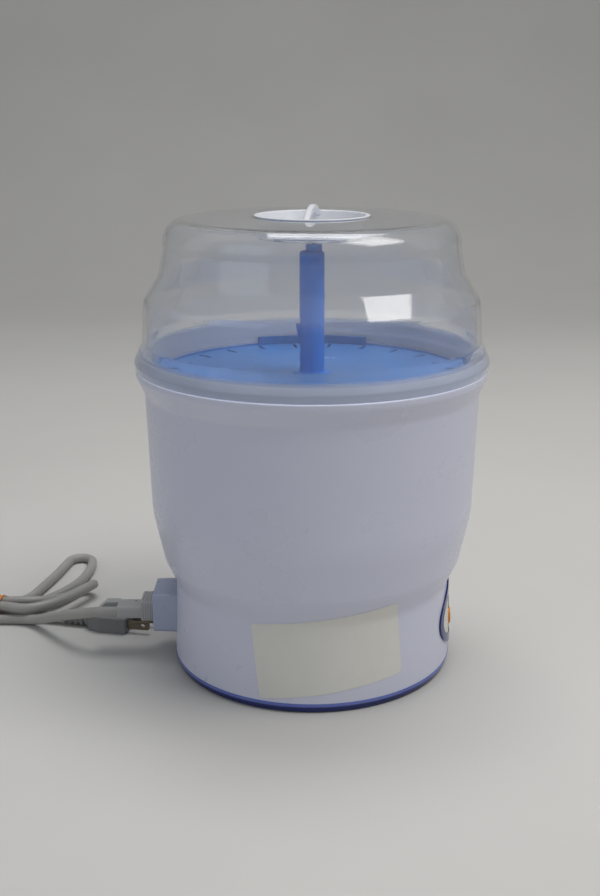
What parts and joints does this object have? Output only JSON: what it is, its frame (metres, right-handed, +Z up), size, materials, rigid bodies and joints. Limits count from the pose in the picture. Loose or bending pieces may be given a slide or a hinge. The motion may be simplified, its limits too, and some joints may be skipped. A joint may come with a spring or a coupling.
{
  "type": "electric steam sterilizer",
  "caption": "Electric steam sterilizer for feeding bottles: white round body, clear domed lid with a grip, blue tray and stem, and a mains lead folded in a hank.",
  "frame": {"origin": "on the floor under the centre of the round body", "axes": "+Z up along the body's axis, +X towards the control panel, -X towards the mains inlet"},
  "size_m": [0.4766, 0.294, 0.318],
  "materials": {
    "shell_white": "satin",
    "base_blue": "gloss",
    "clear_lid": "clear",
    "grip_white": "satin",
    "tray_blue": "satin",
    "stem_blue": "satin",
    "rack_blue": "satin",
    "inlet_grey": "matt",
    "connector_grey": "matt",
    "plug_grey": "matt",
    "cord_grey": "matt",
    "tie_orange": "matt",
    "brass": "satin",
    "steel": "brushed",
    "silicone": "matt",
    "rubber_black": "matt",
    "bezel_blue": "gloss",
    "panel_cream": "satin",
    "lens_amber": "gloss",
    "lens_dark": "gloss",
    "board_green": "satin",
    "part_black": "matt",
    "label_paper": "satin",
    "wire_white": "matt"
  },
  "bodies": {
    "root": {"outer_shell": "shell_white", "base_plate": "base_blue", "rubber_feet": "rubber_black", "base_screws": "steel", "heating_plate": "steel", "plate_gasket": "silicone", "clamp_ring": "steel", "clamp_screws": "steel", "heating_element": "steel", "element_terminals": "steel", "thermostat": "part_black", "thermostat_bracket": "steel", "thermal_fuse": "silicone", "inlet_housing": "inlet_grey", "mains_inlet": "part_black", "inlet_pins": "brass", "panel_bezel": "bezel_blue", "panel_plate": "panel_cream", "display_lens": "lens_dark", "display_module": "part_black", "control_board": "board_green", "board_screws": "steel", "button_switch": "part_black", "indicator_lens": "lens_amber", "label_film": "label_paper", "mains_wires": "wire_white", "sensor_wires": "wire_white"},
    "start_button": {"start_button": "lens_amber", "switch_plunger": "silicone"},
    "rack": {"bottle_rack": "rack_blue"},
    "tray": {"upper_tray": "tray_blue", "stem_column": "stem_blue", "stem_head": "stem_blue", "latch_pin": "steel"},
    "stem_latch": {"latch_lever": "stem_blue"},
    "lid": {"lid_dome": "clear_lid", "lid_grip": "grip_white"},
    "power_lead": {"connector_body": "connector_grey", "connector_sockets": "brass", "cord_from_connector": "cord_grey", "cord_hank": "cord_grey", "cord_tie": "tie_orange", "cord_to_plug": "cord_grey", "plug_relief": "plug_grey", "plug_body": "plug_grey", "plug_blades": "brass"}
  },
  "joints": [
    {"name": "rack_lift", "type": "slide", "parent": "root", "child": "rack", "axis": [0, 0, 1], "range_m": [0, 0.15]},
    {"name": "tray_lift", "type": "slide", "parent": "rack", "child": "tray", "axis": [0, 0, 1], "range_m": [0, 0.15]},
    {"name": "lid_lift", "type": "slide", "parent": "tray", "child": "lid", "axis": [0, 0, 1], "range_m": [0, 0.11]},
    {"name": "stem_latch_press", "type": "hinge", "parent": "tray", "child": "stem_latch", "pos_m": [-0.0065, 0, 0.2215], "axis": [0, 1, 0], "range_deg": [0, 8], "stiffness_Nm_per_rad": 0.05},
    {"name": "start_button_press", "type": "slide", "parent": "root", "child": "start_button", "axis": [-1, 0, 0], "range_m": [0, 0.0012], "stiffness_N_per_m": 1500},
    {"name": "lead_unplug", "type": "slide", "parent": "root", "child": "power_lead", "axis": [-1, 0, 0], "range_m": [0, 0.025]}
  ]
}
